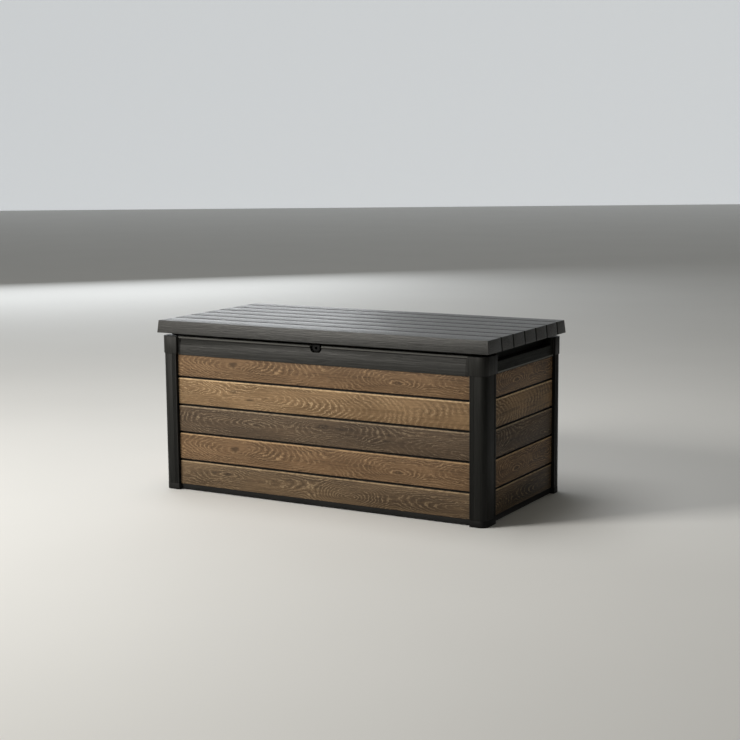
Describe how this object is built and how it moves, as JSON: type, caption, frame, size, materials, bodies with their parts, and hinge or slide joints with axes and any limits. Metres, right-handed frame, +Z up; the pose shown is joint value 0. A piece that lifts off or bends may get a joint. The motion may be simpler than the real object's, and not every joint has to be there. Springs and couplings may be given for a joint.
{
  "type": "deck storage box",
  "caption": "Rectangular outdoor storage box with wood-look plank walls between corner posts, a hinged boarded lid on gas struts, hand recesses and a padlock eye.",
  "frame": {"origin": "centre of the footprint on the ground, at the bottom of the corner feet", "axes": "+X along the length to the viewer's right, +Y to the back where the hinges are, +Z up; the front faces -Y"},
  "size_m": [1.536, 0.74, 0.72],
  "materials": {
    "lid_resin": "moulded charcoal resin with a fine wood-grain emboss, satin",
    "trim_resin": "moulded charcoal resin with a fine wood-grain emboss, matte",
    "post_resin": "moulded near-black resin with fine flutes, matte",
    "base_resin": "moulded black resin, fine texture",
    "liner_resin": "moulded black resin, fine texture",
    "plank_dark_brown": "wood-look resin, dark brown with an embossed oak grain",
    "plank_mid_brown": "wood-look resin, mid brown with an embossed oak grain",
    "plank_grey_brown": "wood-look resin, dark grey-brown with an embossed oak grain",
    "plank_light_tan": "wood-look resin, light tan with an embossed oak grain",
    "steel": "bright zinc plate, satin",
    "black_steel": "black powder coat, satin"
  },
  "bodies": {
    "box": {"base_tray": "base_resin", "post_front_left": "post_resin", "post_front_right": "post_resin", "post_back_left": "post_resin", "post_back_right": "post_resin", "cap_front_left": "trim_resin", "cap_front_right": "trim_resin", "cap_back_left": "trim_resin", "cap_back_right": "trim_resin", "cap_screw_front_left": "black_steel", "cap_screw_front_right": "black_steel", "cap_screw_back_left": "black_steel", "cap_screw_back_right": "black_steel", "plank_front_1": "plank_dark_brown", "plank_front_2": "plank_mid_brown", "plank_front_3": "plank_grey_brown", "plank_front_4": "plank_light_tan", "plank_front_5": "plank_mid_brown", "plank_back_1": "plank_dark_brown", "plank_back_2": "plank_mid_brown", "plank_back_3": "plank_grey_brown", "plank_back_4": "plank_light_tan", "plank_back_5": "plank_mid_brown", "plank_left_1": "plank_dark_brown", "plank_left_2": "plank_mid_brown", "plank_left_3": "plank_grey_brown", "plank_left_4": "plank_light_tan", "plank_left_5": "plank_mid_brown", "plank_right_1": "plank_dark_brown", "plank_right_2": "plank_mid_brown", "plank_right_3": "plank_grey_brown", "plank_right_4": "plank_light_tan", "plank_right_5": "plank_mid_brown", "front_rail": "trim_resin", "back_rail": "trim_resin", "left_rail": "trim_resin", "right_rail": "trim_resin", "hinge_body_leaf_left": "black_steel", "hinge_pin_left": "steel", "hinge_body_leaf_centre": "black_steel", "hinge_pin_centre": "steel", "hinge_body_leaf_right": "black_steel", "hinge_pin_right": "steel", "strut_bracket_body_left": "black_steel", "strut_bracket_body_right": "black_steel", "lock_staple": "post_resin"},
    "lid": {"lid_shell": "lid_resin", "lid_liner": "liner_resin", "lid_stiffener_front": "steel", "lid_stiffener_back": "steel", "lock_tongue": "post_resin", "hinge_lid_leaf_left": "black_steel", "hinge_lid_leaf_centre": "black_steel", "hinge_lid_leaf_right": "black_steel", "strut_bracket_lid_left": "black_steel", "strut_bracket_lid_right": "black_steel"},
    "strut_cylinder_left": {"strut_cylinder_left": "black_steel"},
    "strut_rod_left": {"strut_rod_left": "steel"},
    "strut_cylinder_right": {"strut_cylinder_right": "black_steel"},
    "strut_rod_right": {"strut_rod_right": "steel"}
  },
  "joints": [
    {"name": "lid_hinge", "type": "hinge", "parent": "box", "child": "lid", "pos_m": [0, 0.362, 0.653], "axis": [-1, 0, 0], "range_deg": [0, 80]},
    {"name": "strut_pivot_left", "type": "hinge", "parent": "box", "child": "strut_cylinder_left", "pos_m": [-0.688, 0.254, 0.423], "axis": [-1, 0, 0], "range_deg": [0, 17.8]},
    {"name": "strut_slide_left", "type": "slide", "parent": "strut_cylinder_left", "child": "strut_rod_left", "axis": [0, -0.0995, 0.995], "range_m": [0, 0.145]},
    {"name": "strut_pivot_right", "type": "hinge", "parent": "box", "child": "strut_cylinder_right", "pos_m": [0.688, 0.254, 0.423], "axis": [-1, 0, 0], "range_deg": [0, 17.8]},
    {"name": "strut_slide_right", "type": "slide", "parent": "strut_cylinder_right", "child": "strut_rod_right", "axis": [0, -0.0995, 0.995], "range_m": [0, 0.145]}
  ],
  "couplings": [
    {"joint": "strut_pivot_left", "follows": "lid_hinge", "ratio": 0.22109},
    {"joint": "strut_slide_left", "follows": "lid_hinge", "m_per_rad": 0.1025},
    {"joint": "strut_pivot_right", "follows": "lid_hinge", "ratio": 0.22109},
    {"joint": "strut_slide_right", "follows": "lid_hinge", "m_per_rad": 0.1025}
  ]
}
